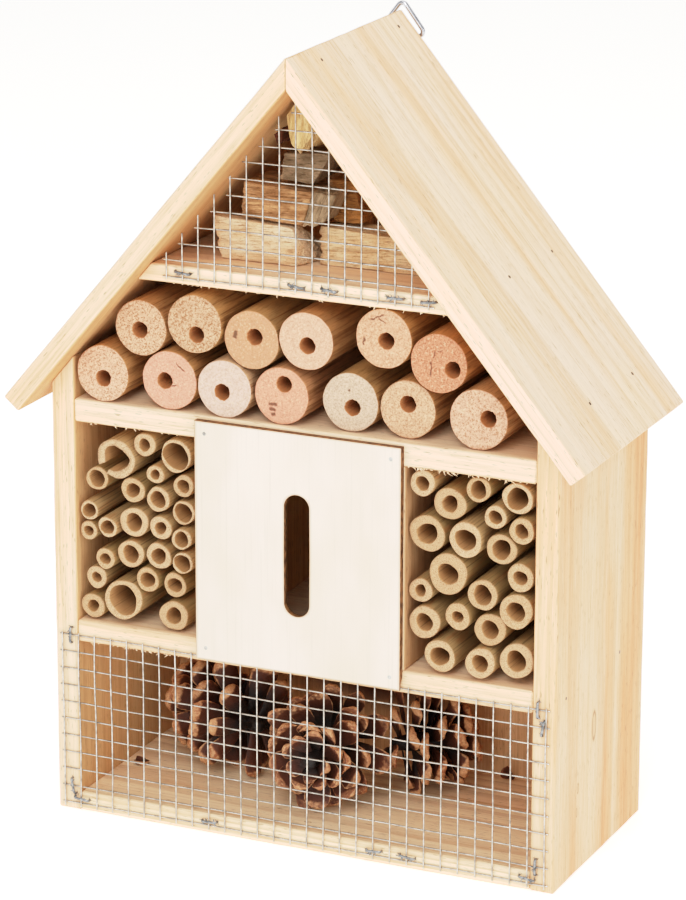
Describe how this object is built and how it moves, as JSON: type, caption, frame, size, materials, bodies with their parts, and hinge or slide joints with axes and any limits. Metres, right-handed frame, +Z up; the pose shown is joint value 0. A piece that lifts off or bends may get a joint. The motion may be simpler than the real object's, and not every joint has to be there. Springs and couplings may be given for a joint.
{
  "type": "insect hotel",
  "caption": "Pitched-roof wooden insect hotel with drilled logs, hollow canes, a slotted chamber panel, wire-meshed bays of cones and split wood, and a hanging ring.",
  "frame": {"origin": "middle of the underside of the body, half way between its sides and between its front and back faces", "axes": "+Z up, the open front faces -Y, +X to the right seen from the front"},
  "size_m": [0.2726, 0.1226, 0.3602],
  "materials": {
    "softwood": "planed pale softwood, clear grain, unvarnished",
    "back_board": "thin wood board, untreated",
    "plywood": "very pale plywood face with scorched laser-cut edges",
    "log_wood": "turned log: orange-tan sides and pale sawn ends",
    "cane": "dry bamboo and reed, matt skin, fibrous cut ends",
    "split_wood": "split firewood, rough and fibrous",
    "bark": "rough dark bark",
    "pine_cone": "dry brown cone scales with pale tips",
    "galvanised_wire": "bright galvanised welded wire",
    "staple_steel": "galvanised steel",
    "nail_steel": "bright steel",
    "hanger_steel": "bright plated steel"
  },
  "bodies": {
    "house": {"attic_shelf": "softwood", "back_panel": "back_board", "back_panel_nails": "nail_steel", "bark_scrap": "bark", "bottom_board": "softwood", "chunk_low_left": "split_wood", "chunk_low_right": "split_wood", "chunk_mid_grey": "split_wood", "chunk_mid_left": "split_wood", "chunk_mid_right": "split_wood", "chunk_peak": "split_wood", "chunk_top_grey": "split_wood", "frame_nails": "nail_steel", "front_panel": "plywood", "gable_mesh": "galvanised_wire", "gable_mesh_staples": "staple_steel", "hanger_screw": "hanger_steel", "hanger_strap": "hanger_steel", "left_canes_1": "cane", "left_canes_2": "cane", "left_canes_3": "cane", "left_canes_4": "cane", "left_canes_5": "cane", "left_canes_6": "cane", "left_divider": "softwood", "left_roof": "softwood", "left_side": "softwood", "log_01": "log_wood", "log_02": "log_wood", "log_03": "log_wood", "log_04": "log_wood", "log_05": "log_wood", "log_06": "log_wood", "log_07": "log_wood", "log_08": "log_wood", "log_09": "log_wood", "log_10": "log_wood", "log_11": "log_wood", "log_12": "log_wood", "log_13": "log_wood", "lower_mesh": "galvanised_wire", "lower_mesh_staples": "staple_steel", "lower_shelf": "softwood", "panel_pins": "nail_steel", "pine_cone_left": "pine_cone", "pine_cone_middle": "pine_cone", "pine_cone_right": "pine_cone", "right_canes_1": "cane", "right_canes_2": "cane", "right_canes_3": "cane", "right_canes_4": "cane", "right_canes_5": "cane", "right_divider": "softwood", "right_roof": "softwood", "right_side": "softwood", "roof_nails": "nail_steel", "upper_shelf": "softwood"},
    "ring": {"hanger_ring": "hanger_steel"}
  },
  "joints": [
    {"name": "ring_swing", "type": "hinge", "parent": "house", "child": "ring", "pos_m": [0, 0.05428, 0.34501], "axis": [-1, 0, 0], "range_deg": [0, 175]}
  ]
}
